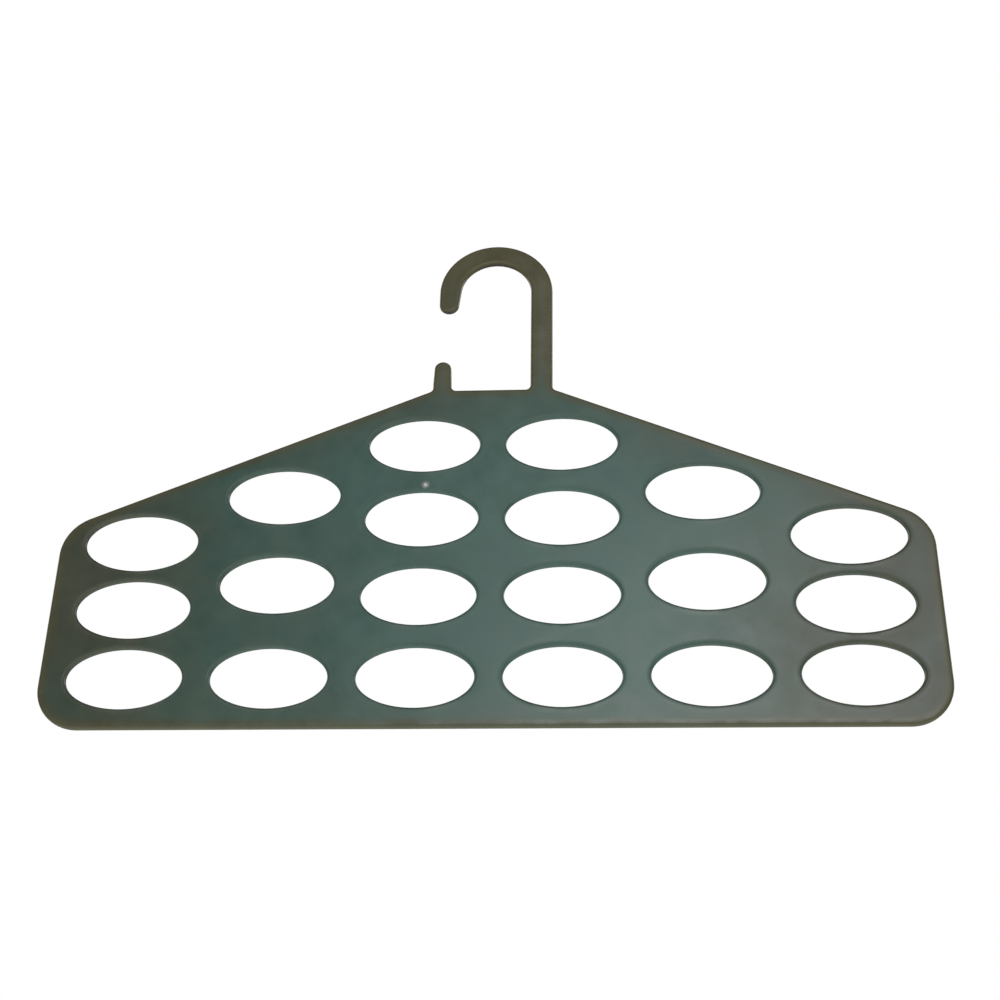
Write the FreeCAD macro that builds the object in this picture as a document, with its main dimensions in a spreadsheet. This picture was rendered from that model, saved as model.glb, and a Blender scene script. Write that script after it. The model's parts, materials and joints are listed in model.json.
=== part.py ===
import FreeCAD, Part
import enum
import math
import os

import Sketcher

# Scarf hanger moulded flat: a loop plate pierced by ovals, the hook that hangs it on a closet rod
# and the keeper prong that stands under the hook's tip.
# The frame has +Z up, +X along the width and -Y towards the front. The origin is the centre of the
# hook's rod seat, halfway through the thickness. Lengths are in millimetres, angles in degrees.

DIMENSIONS = {
    # Plate
    "plate_width": 445.0,
    "plate_height": 189.7,
    "plate_thickness": 4.2,
    "side_height": 109.3,
    "corner_radius": 22.2,
    "edge_radius": 1.5,
    # Webs left standing around the scarf loops, which fill the rest of the plate
    "side_web": 13.2,
    "column_web": 13.8,
    "bottom_web": 10.2,
    "inner_web": 11.7,
    "inner_top_web": 10.4,
    "inner_rows": 4,
    "middle_web": 18.4,
    "middle_top_web": 9.9,
    "middle_rows": 3,
    "outer_web": 5.5,
    "outer_top_web": 5.9,
    "outer_rows": 3,
    # Rod hook
    "hook_rise": 63.6,
    "hook_width": 11.8,
    "seat_radius": 19.4,
    "tip_reach": 7.2,
    "tip_taper": 7.0,
    # Roots of the hook and of the prong, a fillet and then a short straight rise
    "root_radius": 2.8,
    "root_rise": 1.5,
    # Keeper prong
    "prong_offset": 28.0,
    "prong_width": 9.8,
    "prong_height": 18.3,
    "prong_narrowing": 0.4,
    # Gate mark, right of the inner left column's middle and above its last loop but one
    "gate_radius": 1.1,
    "gate_height": 0.5,
    "gate_round": 0.3,
    "gate_shift": 1.5,
    "gate_margin": 3.2,
}

# Pairs of loop columns from the middle of the plate outwards
PAIRS = ("inner", "middle", "outer")
COLUMNS = 2 * len(PAIRS)

# Sizes and places written as expressions of the driving dimensions
HALF_WIDTH = "(Dimensions.plate_width / 2)"
TOP = "(-Dimensions.hook_rise)"
BOTTOM = f"({TOP} - Dimensions.plate_height)"
SHOULDER = f"({BOTTOM} + Dimensions.side_height)"
JOINT = f"({TOP} + Dimensions.root_radius + Dimensions.root_rise)"
STEM_INNER = "Dimensions.seat_radius"
STEM_OUTER = "(Dimensions.seat_radius + Dimensions.hook_width)"
PRONG_INNER = "(Dimensions.prong_width / 2 - Dimensions.prong_offset)"
PRONG_OUTER = "(-Dimensions.prong_width / 2 - Dimensions.prong_offset)"
PRONG_ROUND = "(Dimensions.prong_width / 2 - Dimensions.prong_narrowing)"
PRONG_TIP = f"({TOP} + Dimensions.prong_height - {PRONG_ROUND})"
ALL_WEBS = f"(2 * Dimensions.side_web + {COLUMNS - 1} * Dimensions.column_web)"
LOOP_WIDTH = f"((Dimensions.plate_width - {ALL_WEBS}) / {COLUMNS})"
SLOPE = f"((Dimensions.plate_height - Dimensions.side_height) / ({HALF_WIDTH} - {STEM_OUTER}))"

# Corners of the plate as (x, z), counter-clockwise from the bottom left
PLATE_CORNERS = [
    (f"-{HALF_WIDTH}", BOTTOM),
    (HALF_WIDTH, BOTTOM),
    (HALF_WIDTH, SHOULDER),
    (STEM_OUTER, TOP),
    (STEM_OUTER, JOINT),
    (STEM_INNER, JOINT),
    (STEM_INNER, TOP),
    (PRONG_INNER, TOP),
    (PRONG_INNER, JOINT),
    (PRONG_OUTER, JOINT),
    (PRONG_OUTER, TOP),
    (f"-{HALF_WIDTH}", SHOULDER),
]
ROUNDED_CORNERS = [
    (f"-{HALF_WIDTH}", BOTTOM),
    (HALF_WIDTH, BOTTOM),
    (HALF_WIDTH, SHOULDER),
    (f"-{HALF_WIDTH}", SHOULDER),
]
ROOT_CORNERS = [
    (STEM_OUTER, TOP),
    (STEM_INNER, TOP),
    (PRONG_INNER, TOP),
    (PRONG_OUTER, TOP),
]


class End(enum.IntEnum):
    """Points of a sketch element that a constraint can hold."""

    START = 1
    STOP = 2
    CENTRE = 3


class Own(enum.IntEnum):
    """Elements that every sketch has of its own."""

    HORIZONTAL_AXIS = -1


ORIGIN = (Own.HORIZONTAL_AXIS, End.START)


def make_sheet(doc):
    """Put the driving dimensions into a sheet, one alias each."""
    sheet = doc.addObject("Spreadsheet::Sheet", "Dimensions")
    for row, (alias, value) in enumerate(DIMENSIONS.items(), start=1):
        sheet.set(f"A{row}", alias)
        sheet.set(f"B{row}", str(value))
        sheet.setAlias(f"B{row}", alias)
    doc.recompute()
    return sheet


def vector(item, x, z):
    """Evaluate a pair of expressions as a point of a sketch."""
    return FreeCAD.Vector(item.evalExpression(x), item.evalExpression(z), 0)


def front_plane(body):
    """Find the body's own plane through the middle of its thickness."""
    return next(item for item in body.Origin.OriginFeatures if item.Role == "XZ_Plane")


def make_sketch(body, name):
    """Start a sketch whose x runs along X and whose y runs up Z."""
    sketch = body.newObject("Sketcher::SketchObject", name)
    sketch.AttachmentSupport = (front_plane(body), [""])
    sketch.MapMode = "FlatFace"
    return sketch


def bind(sketch, kind, elements, expression):
    """Add a constraint whose size follows an expression."""
    value = sketch.evalExpression(expression)
    index = sketch.addConstraint(Sketcher.Constraint(kind, *elements, value))
    sketch.setExpression(f"Constraints[{index}]", expression)


def place(sketch, element, end, x, z):
    """Hold one end of an element at a place given from the origin."""
    bind(sketch, "DistanceX", (*ORIGIN, element, end), x)
    bind(sketch, "DistanceY", (*ORIGIN, element, end), z)


def draw_polygon(sketch, sheet, corners):
    """Draw a closed polygon through corners that follow expressions."""
    points = [vector(sheet, x, z) for x, z in corners]
    sides = [
        sketch.addGeometry(Part.LineSegment(point, after))
        for point, after in zip(points, points[1:] + points[:1])
    ]
    for side, after in zip(sides, sides[1:] + sides[:1]):
        sketch.addConstraint(Sketcher.Constraint("Coincident", side, End.STOP, after, End.START))
    for side, (x, z) in zip(sides, corners):
        place(sketch, side, End.START, x, z)


def loop_column(pair):
    """Distance of a pair's two columns from the middle of the plate."""
    return f"(({LOOP_WIDTH} + Dimensions.column_web) * {PAIRS.index(pair) + 1 / 2})"


def loop_height(pair):
    """Height of each loop of a column, from the walls left under, between and over its loops.

    The top web is measured square to the shoulder. The shoulder over the column, less the webs, leaves
    a room for the half heights b that lie under the top loop's middle, n of them, and for the top
    loop's own reach towards the shoulder: room = n * b + sqrt(lean^2 + b^2), where lean is half the
    loop's width times the slope. Solved for b, that is the fraction below.
    """
    edge = f"(Dimensions.side_height + {SLOPE} * ({HALF_WIDTH} - {loop_column(pair)}))"
    between = f"((Dimensions.{pair}_rows - 1) * Dimensions.{pair}_web)"
    over = f"(Dimensions.{pair}_top_web * sqrt(1 + {SLOPE} ^ 2))"
    room = f"({edge} - Dimensions.bottom_web - {between} - {over})"
    count = f"(2 * Dimensions.{pair}_rows - 1)"
    lean = f"({SLOPE} * {LOOP_WIDTH} / 2)"
    root = f"sqrt({room} ^ 2 + ({count} ^ 2 - 1) * {lean} ^ 2)"
    return f"(2 * ({room} ^ 2 - {lean} ^ 2) / ({count} * {room} + {root}))"


def loop_pitch(pair):
    """Rise from one row of a column to the next."""
    return f"({loop_height(pair)} + Dimensions.{pair}_web)"


def lowest_row(pair):
    """Height of the middle of a column's lowest loop."""
    return f"({BOTTOM} + Dimensions.bottom_web + {loop_height(pair)} / 2)"


def draw_oval(sketch, x, z, width, height):
    """Draw one scarf loop, an ellipse lying along X, with its two diameters."""
    centre = vector(sketch, x, z)
    across = vector(sketch, f"{width} / 2", "0")
    upward = vector(sketch, "0", f"{height} / 2")
    oval = sketch.addGeometry(Part.Ellipse(centre + across, centre + upward, centre))
    major = sketch.addGeometry(Part.LineSegment(centre - across, centre + across), True)
    minor = sketch.addGeometry(Part.LineSegment(centre - upward, centre + upward), True)
    sketch.addConstraint(Sketcher.Constraint("InternalAlignment:EllipseMajorDiameter", major, oval))
    sketch.addConstraint(Sketcher.Constraint("InternalAlignment:EllipseMinorDiameter", minor, oval))
    sketch.addConstraint(Sketcher.Constraint("Horizontal", major))
    bind(sketch, "Distance", (major,), width)
    bind(sketch, "Distance", (minor,), height)
    place(sketch, oval, End.CENTRE, x, z)


def pad_thickness(body, sketch, name):
    """Pad a sketch to the plate's thickness, half to each side."""
    pad = body.newObject("PartDesign::Pad", name)
    pad.Profile = sketch
    pad.SideType = "Symmetric"
    pad.setExpression("Length", "Dimensions.plate_thickness")
    return pad


def through_edges(shape, points):
    """Name the edges that run through the thickness at the given points."""
    found = []
    for number, edge in enumerate(shape.Edges, start=1):
        ends = [FreeCAD.Vector(v.X, v.Z, 0) for v in edge.Vertexes]
        stands = len(ends) == 2 and ends[0].isEqual(ends[1], Part.Precision.confusion())
        if stands and any(ends[0].isEqual(p, Part.Precision.confusion()) for p in points):
            found.append(f"Edge{number}")
    return found


def rim_edges(shape, joint):
    """Name the edges of the front and back faces, apart from those on the joint's plane."""
    front, back = shape.BoundBox.YMin, shape.BoundBox.YMax
    small = Part.Precision.confusion()
    found = []
    for number, edge in enumerate(shape.Edges, start=1):
        box = edge.BoundBox
        on_face = any(abs(box.YMin - y) < small and abs(box.YMax - y) < small for y in (front, back))
        on_joint = abs(box.ZMin - joint) < small and abs(box.ZMax - joint) < small
        if on_face and not on_joint:
            found.append(f"Edge{number}")
    return found


def round_edges(body, base, edges, name, radius):
    """Fillet the named edges of a feature."""
    fillet = body.newObject("PartDesign::Fillet", name)
    fillet.Base = (base, edges)
    fillet.setExpression("Radius", radius)
    body.Document.recompute()
    return fillet


def round_rim(body, sheet, base):
    """Round the front and back rims, leaving the flat joint face sharp."""
    edges = rim_edges(base.Shape, sheet.evalExpression(JOINT))
    return round_edges(body, base, edges, f"{body.Name}Rim", "Dimensions.edge_radius")


def pierce_columns(body, pair):
    """Pierce a column of ovals and its mirror image on the other side of the middle."""
    sketch = make_sketch(body, f"{pair}_oval")
    for x in (loop_column(pair), f"-{loop_column(pair)}"):
        draw_oval(sketch, x, lowest_row(pair), LOOP_WIDTH, loop_height(pair))
    pocket = body.newObject("PartDesign::Pocket", f"{pair}_loops")
    pocket.Profile = sketch
    pocket.Type = "ThroughAll"
    pocket.SideType = "Symmetric"
    rows = body.newObject("PartDesign::LinearPattern", f"{pair}_rows")
    rows.Originals = [pocket]
    rows.Direction = (sketch, ["V_Axis"])
    rows.Mode = "Spacing"
    rows.setExpression("Offset", loop_pitch(pair))
    rows.setExpression("Occurrences", f"Dimensions.{pair}_rows")
    body.Tip = rows
    body.Document.recompute()
    return rows


def add_gate_mark(body, sheet, base):
    """Raise the small round button that the trimmed gate leaves on the front face."""
    x = f"(Dimensions.gate_shift - {loop_column('inner')})"
    row = f"({lowest_row('inner')} + {loop_pitch('inner')} * (Dimensions.inner_rows - 2))"
    z = f"({row} + {loop_height('inner')} / 2 + Dimensions.gate_margin)"
    sketch = make_sketch(body, "GateOutline")
    sketch.setExpression("AttachmentOffset.Base.z", "Dimensions.plate_thickness / 2")
    outline = Part.Circle(vector(sheet, x, z), FreeCAD.Vector(0, 0, 1), sheet.gate_radius)
    circle = sketch.addGeometry(outline)
    bind(sketch, "Radius", (circle,), "Dimensions.gate_radius")
    place(sketch, circle, End.CENTRE, x, z)
    button = body.newObject("PartDesign::Pad", "GateButton")
    button.Profile = sketch
    button.setExpression("Length", "Dimensions.gate_height")
    body.Document.recompute()
    front = button.Shape.BoundBox.YMin
    edges = [
        f"Edge{number}"
        for number, edge in enumerate(button.Shape.Edges, start=1)
        if abs(edge.BoundBox.YMax - front) < Part.Precision.confusion()
    ]
    return round_edges(body, button, edges, "GateRound", "Dimensions.gate_round")


def make_loop_plate(doc, sheet):
    """The pierced plate, with the short roots that carry the hook and the prong."""
    body = doc.addObject("PartDesign::Body", "loop_plate")
    outline = make_sketch(body, "PlateOutline")
    draw_polygon(outline, sheet, PLATE_CORNERS)
    pad = pad_thickness(body, outline, "PlatePad")
    doc.recompute()
    corners = through_edges(pad.Shape, [vector(sheet, x, z) for x, z in ROUNDED_CORNERS])
    rounded = round_edges(body, pad, corners, "PlateCorners", "Dimensions.corner_radius")
    roots = through_edges(rounded.Shape, [vector(sheet, x, z) for x, z in ROOT_CORNERS])
    round_edges(body, rounded, roots, "PlateRoots", "Dimensions.root_radius")
    for pair in PAIRS:
        pierced = pierce_columns(body, pair)
    rim = round_rim(body, sheet, pierced)
    body.Tip = add_gate_mark(body, sheet, rim)
    return body


def tip_radius(sheet):
    """Radius of the round that touches both sides of the hook's tapered tip."""
    taper = math.radians(sheet.tip_taper)
    outer = sheet.seat_radius + sheet.hook_width
    room = outer * math.cos(taper) - sheet.seat_radius - sheet.tip_reach * math.sin(taper)
    return room / (1 + math.cos(taper))


def draw_hook(sketch, sheet):
    """Draw the hook: stem, half-round bend about the rod, and tapered tip with a full round."""
    up = FreeCAD.Vector(0, 0, 1)
    seat = FreeCAD.Vector(0, 0, 0)
    taper = math.radians(sheet.tip_taper)
    radius = tip_radius(sheet)
    outer = sheet.seat_radius + sheet.hook_width
    tip = FreeCAD.Vector(radius - outer, -sheet.tip_reach, 0)
    away = FreeCAD.Vector(-math.cos(taper), math.sin(taper), 0)
    stem_outer_foot = vector(sheet, STEM_OUTER, JOINT)
    stem_inner_foot = vector(sheet, STEM_INNER, JOINT)
    outer_end = FreeCAD.Vector(-outer, 0, 0)
    outer_touch = FreeCAD.Vector(-outer, -sheet.tip_reach, 0)
    inner_touch = tip - away * radius
    inner_end = away * sheet.seat_radius

    foot = sketch.addGeometry(Part.LineSegment(stem_inner_foot, stem_outer_foot))
    stem_outer = sketch.addGeometry(Part.LineSegment(stem_outer_foot, vector(sheet, STEM_OUTER, "0")))
    bend_outer = sketch.addGeometry(Part.ArcOfCircle(Part.Circle(seat, up, outer), 0, math.pi))
    tip_outer = sketch.addGeometry(Part.LineSegment(outer_end, outer_touch))
    end_round = Part.Circle(tip, up, radius)
    tip_round = sketch.addGeometry(Part.ArcOfCircle(end_round, math.pi, 2 * math.pi - taper))
    tip_inner = sketch.addGeometry(Part.LineSegment(inner_touch, inner_end))
    seat_circle = Part.Circle(seat, up, sheet.seat_radius)
    bend_inner = sketch.addGeometry(Part.ArcOfCircle(seat_circle, 0, math.pi - taper))
    stem_inner = sketch.addGeometry(Part.LineSegment(vector(sheet, STEM_INNER, "0"), stem_inner_foot))

    sketch.addConstraint(Sketcher.Constraint("Coincident", foot, End.STOP, stem_outer, End.START))
    sketch.addConstraint(Sketcher.Constraint("Coincident", stem_inner, End.STOP, foot, End.START))
    for smooth in (
        (stem_outer, End.STOP, bend_outer, End.START),
        (bend_outer, End.STOP, tip_outer, End.START),
        (tip_outer, End.STOP, tip_round, End.START),
        (tip_round, End.STOP, tip_inner, End.START),
        (tip_inner, End.STOP, bend_inner, End.STOP),
        (bend_inner, End.START, stem_inner, End.START),
    ):
        sketch.addConstraint(Sketcher.Constraint("Tangent", *smooth))
    for bend in (bend_outer, bend_inner):
        sketch.addConstraint(Sketcher.Constraint("Coincident", bend, End.CENTRE, *ORIGIN))
    for line in (stem_outer, tip_outer, stem_inner):
        sketch.addConstraint(Sketcher.Constraint("Vertical", line))
    sketch.addConstraint(Sketcher.Constraint("Horizontal", foot))
    bind(sketch, "Radius", (bend_inner,), "Dimensions.seat_radius")
    bind(sketch, "Radius", (bend_outer,), STEM_OUTER)
    bind(sketch, "DistanceY", (*ORIGIN, foot, End.START), JOINT)
    bind(sketch, "DistanceY", (*ORIGIN, tip_round, End.CENTRE), "-Dimensions.tip_reach")
    bind(sketch, "Angle", (tip_inner, End.START, tip_outer, End.STOP), "Dimensions.tip_taper")


def make_rod_hook(doc, sheet):
    """The hook that seats on a closet rod."""
    body = doc.addObject("PartDesign::Body", "rod_hook")
    outline = make_sketch(body, "HookOutline")
    draw_hook(outline, sheet)
    pad = pad_thickness(body, outline, "HookPad")
    doc.recompute()
    round_rim(body, sheet, pad)
    return body


def draw_prong(sketch, sheet):
    """Draw the prong: a flat foot, two leaning sides and a full round on top."""
    tip = vector(sheet, "-Dimensions.prong_offset", PRONG_TIP)
    inner_foot = vector(sheet, PRONG_INNER, JOINT)
    outer_foot = vector(sheet, PRONG_OUTER, JOINT)
    reach = inner_foot - tip
    radius = sheet.evalExpression(PRONG_ROUND)
    lean = math.atan2(reach.y, reach.x) + math.acos(radius / reach.Length)
    cap = Part.Circle(tip, FreeCAD.Vector(0, 0, 1), radius)
    round_top = Part.ArcOfCircle(cap, lean, math.pi - lean)
    foot = sketch.addGeometry(Part.LineSegment(outer_foot, inner_foot))
    inner_side = sketch.addGeometry(Part.LineSegment(inner_foot, round_top.StartPoint))
    top = sketch.addGeometry(round_top)
    outer_side = sketch.addGeometry(Part.LineSegment(round_top.EndPoint, outer_foot))

    sketch.addConstraint(Sketcher.Constraint("Coincident", foot, End.STOP, inner_side, End.START))
    sketch.addConstraint(Sketcher.Constraint("Coincident", outer_side, End.STOP, foot, End.START))
    sketch.addConstraint(Sketcher.Constraint("Tangent", inner_side, End.STOP, top, End.START))
    sketch.addConstraint(Sketcher.Constraint("Tangent", top, End.STOP, outer_side, End.START))
    place(sketch, foot, End.START, PRONG_OUTER, JOINT)
    place(sketch, foot, End.STOP, PRONG_INNER, JOINT)
    place(sketch, top, End.CENTRE, "-Dimensions.prong_offset", PRONG_TIP)
    bind(sketch, "Radius", (top,), PRONG_ROUND)


def make_keeper_prong(doc, sheet):
    """The upright under the hook's tip that keeps the rod from slipping out."""
    body = doc.addObject("PartDesign::Body", "keeper_prong")
    outline = make_sketch(body, "ProngOutline")
    draw_prong(outline, sheet)
    pad = pad_thickness(body, outline, "ProngPad")
    doc.recompute()
    round_rim(body, sheet, pad)
    return body


def check(doc, bodies):
    """Stop if any feature failed or any sub-part is not one sound solid."""
    for item in doc.Objects:
        if {"Invalid", "Error"} & set(item.State):
            raise RuntimeError(f"{item.Name} failed: {item.State}")
    for body in bodies:
        if body.Shape.isNull() or not body.Shape.isValid() or len(body.Shape.Solids) != 1:
            raise RuntimeError(f"{body.Label} is not one sound solid")


def main():
    """Build the hanger and write one file for each sub-part."""
    doc = FreeCAD.newDocument("ScarfHanger")
    sheet = make_sheet(doc)
    bodies = [
        make_loop_plate(doc, sheet),
        make_rod_hook(doc, sheet),
        make_keeper_prong(doc, sheet),
    ]
    doc.recompute()
    check(doc, bodies)
    os.makedirs("parts", exist_ok=True)
    for body in bodies:
        body.Shape.exportStep(f"parts/{body.Label}.step")
        print(f"{body.Label}: {body.Shape.Volume:.1f} cubic mm")


main()
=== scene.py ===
"""Dress the scarf hanger: its pierced plate, rod hook, keeper prong and gate mark, on a plain stage."""

import json
import logging
import math
from abc import ABC, abstractmethod
from dataclasses import dataclass, field
from enum import Enum, IntEnum, StrEnum, auto
from typing import Any, ClassVar

import bpy
import numpy as np
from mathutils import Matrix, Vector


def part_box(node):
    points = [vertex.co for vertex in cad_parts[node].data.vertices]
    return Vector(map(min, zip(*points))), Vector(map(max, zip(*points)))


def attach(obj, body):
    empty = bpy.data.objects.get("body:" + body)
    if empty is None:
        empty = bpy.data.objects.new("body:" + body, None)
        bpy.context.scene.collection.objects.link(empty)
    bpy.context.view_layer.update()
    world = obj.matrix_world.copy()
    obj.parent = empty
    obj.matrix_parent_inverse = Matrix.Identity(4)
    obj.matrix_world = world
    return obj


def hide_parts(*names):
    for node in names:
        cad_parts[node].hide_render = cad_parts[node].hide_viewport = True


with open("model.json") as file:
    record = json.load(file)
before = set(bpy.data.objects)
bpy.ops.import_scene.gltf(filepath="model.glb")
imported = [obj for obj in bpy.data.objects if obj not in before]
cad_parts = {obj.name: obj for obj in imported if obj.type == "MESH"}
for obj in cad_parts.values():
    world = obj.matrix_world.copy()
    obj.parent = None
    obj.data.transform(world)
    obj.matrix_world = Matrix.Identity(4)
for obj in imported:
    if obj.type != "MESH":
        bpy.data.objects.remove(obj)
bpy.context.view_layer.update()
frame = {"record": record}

Array = np.ndarray
Colour = tuple[float, float, float, float]
Place = tuple[float, float, float]
Pair = tuple[float, float]

log = logging.getLogger("scarf_hanger")

MM = 0.001
WELD = 1e-6
STOP_DECIMALS = 9
CIRCLE = 2 * math.pi


class Axis(IntEnum):
    """Axes of the shared frame: X along the width, Y from front to back, Z up."""

    X = 0
    Y = 1
    Z = 2


class Mark(StrEnum):
    """Point attributes that the materials read.

    RIM is the distance from the nearest free edge and OUTLINE that from the outer outline. WEAR goes
    up to 1 where cloth has rubbed the surface and down to -1 where shade is painted on walls that look
    down.
    """

    RIM = "rim"
    OUTLINE = "outline"
    WEAR = "wear"


def in_plane(points: Array, depth: Array | float) -> Array:
    """Put points of the hanger's plane into space.

    Args:
        points: Complex numbers, X as the real part and Z as the imaginary part.
        depth: The Y of each point, or one Y for all.

    Returns:
        An array with a last axis of three.
    """
    points, depth = np.broadcast_arrays(points, depth)
    return np.stack([points.real, depth, points.imag], axis=-1)


def between(first: Array, second: Array, share: Array) -> Array:
    """Ruled grid: each row runs straight from a point of the first curve to its fellow on the second."""
    return first[:, None] * (1 - share) + second[:, None] * share


def within(values: Array, low: float, high: float) -> Array:
    """Which values lie between two limits, give or take a weld."""
    return (values > low - WELD) & (values < high + WELD)


def nearest(points: Array, edges: Array) -> Array:
    """Distance from each point to the nearest of the sampled edge points, all in the plane."""
    return np.abs(points.reshape(-1, 1) - edges).min(axis=1).reshape(points.shape)


def subdivide(stops: Array, step: float) -> Array:
    """Divide the stretch between each two neighbouring stops into equal parts.

    Args:
        stops: Stops in rising order.
        step: Longest part allowed.

    Returns:
        The stops and the points between them.
    """
    stretches = [
        np.linspace(low, high, max(1, math.ceil((high - low) / step)) + 1)[:-1]
        for low, high in zip(stops[:-1], stops[1:])
    ]
    return np.concatenate([*stretches, stops[-1:]])


def inset(corners: Array, distance: float) -> Array:
    """Move every side of an open polygon path to its right.

    A corner moves against the sum of the left normals of its two sides, over one plus their dot product.

    Args:
        corners: Corners of the path.
        distance: How far its sides move.

    Returns:
        The moved corners.
    """
    sides = np.diff(corners)
    left = 1j * sides / np.abs(sides)
    before = np.concatenate([left[:1], left])
    after = np.concatenate([left, left[-1:]])
    return corners - distance * (before + after) / (1 + (before * after.conj()).real)


@dataclass(frozen=True)
class Track:
    """A path in the hanger's plane with the material on its right.

    Attributes:
        points: Points along the path.
        outward: Unit normals that point out of the material, to the left of the way.
    """

    points: Array
    outward: Array

    @staticmethod
    def rounded(corners: Array, radii: Array, counts: Array, arc_steps: int) -> "Track":
        """Walk along a polygon path whose inner corners are rounded.

        At a corner the way turns from u to u times e to the i turn. The round touches both sides at
        r tan(turn / 2) from the corner, and its points stand off its centre by r along the left normal
        of the way, to the left where the way turns right and to the right where it turns left.

        Args:
            corners: Corners of the path, its two ends among them.
            radii: Radius at each corner. The ends and plain stops have none.
            counts: Number of steps along each straight side.
            arc_steps: Number of steps in each round.

        Returns:
            The path with its outward normals.
        """
        sides = np.diff(corners)
        way = sides / np.abs(sides)
        turn = np.concatenate([[0.0], np.angle(way[1:] / way[:-1]), [0.0]])
        trim = radii * np.tan(np.abs(turn) / 2)
        points, outward = [corners[:1]], [1j * way[:1]]
        for side, count in enumerate(counts):
            start = corners[side] + way[side] * trim[side]
            stop = corners[side + 1] - way[side] * trim[side + 1]
            along = np.linspace(0, 1, count + 1)[1:]
            points.append(start + (stop - start) * along)
            outward.append(np.full(count, 1j * way[side]))
            radius = radii[side + 1]
            if radius > 0:
                bend = turn[side + 1]
                left = 1j * way[side] * np.exp(1j * bend * np.linspace(0, 1, arc_steps + 1)[1:])
                reach = -np.sign(bend) * radius
                points.append(stop + reach * (left - 1j * way[side]))
                outward.append(left)
        return Track(np.concatenate(points), np.concatenate(outward))


@dataclass(frozen=True)
class Rim:
    """The edge of the moulding in section: a round, a flat wall with the parting line, and a round.

    Attributes:
        thickness: Thickness of the moulding.
        radius: Radius of the two rounds.
        ridge: How far the parting line stands out.
        ridge_width: Half width of the parting line.
        round_steps: Steps in each round.
        wall_steps: Steps in each half of the wall.
    """

    thickness: float
    radius: float = 1.5 * MM
    ridge: float = 0.05 * MM
    ridge_width: float = 0.14 * MM
    round_steps: int = 5
    wall_steps: int = 3

    def section(self) -> tuple[Array, Array, Array, Array]:
        """Work out the section from the front face's edge to the back face's edge.

        In a round at angle a, the edge stands out by r sin a and the depth moves by r (1 - cos a). On
        the wall it stands out by r plus the ridge's bell curve of the depth.

        Returns:
            How far each point stands out from the face's edge, its depth, and the two parts of its normal,
            outward and along the depth.
        """
        angle = np.linspace(0, math.pi / 2, self.round_steps + 1)
        sine, cosine = np.sin(angle), np.cos(angle)
        flat = self.thickness / 2 - self.radius
        half = flat * np.linspace(1, 0, self.wall_steps + 1)[1:] ** 2
        wall = np.concatenate([-half, half[-2::-1]])
        bell = self.ridge * np.exp(-(wall / self.ridge_width) ** 2)
        slope = 2 * wall / self.ridge_width**2 * bell
        steep = np.hypot(1, slope)
        front = self.radius * (1 - cosine) - self.thickness / 2
        out = np.concatenate([self.radius * sine, self.radius + bell, self.radius * sine[::-1]])
        depth = np.concatenate([front, wall, -front[::-1]])
        normal_out = np.concatenate([sine, 1 / steep, sine[::-1]])
        normal_depth = np.concatenate([-cosine, slope / steep, cosine[::-1]])
        return out, depth, normal_out, normal_depth

    def sweep(self, track: Track) -> tuple[Array, Array]:
        """Carry the section along a face's edge.

        Args:
            track: The face's edge.

        Returns:
            Points and normals, one row for each point of the track.
        """
        out, depth, normal_out, normal_depth = self.section()
        points = in_plane(track.points[:, None] + track.outward[:, None] * out, depth)
        normals = in_plane(track.outward[:, None] * normal_out, normal_depth)
        return points, normals

    def face_edge(self, wall: Track) -> Track:
        """The face's edge behind a wall, a radius inside it."""
        return Track(wall.points - wall.outward * self.radius, wall.outward)


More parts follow.
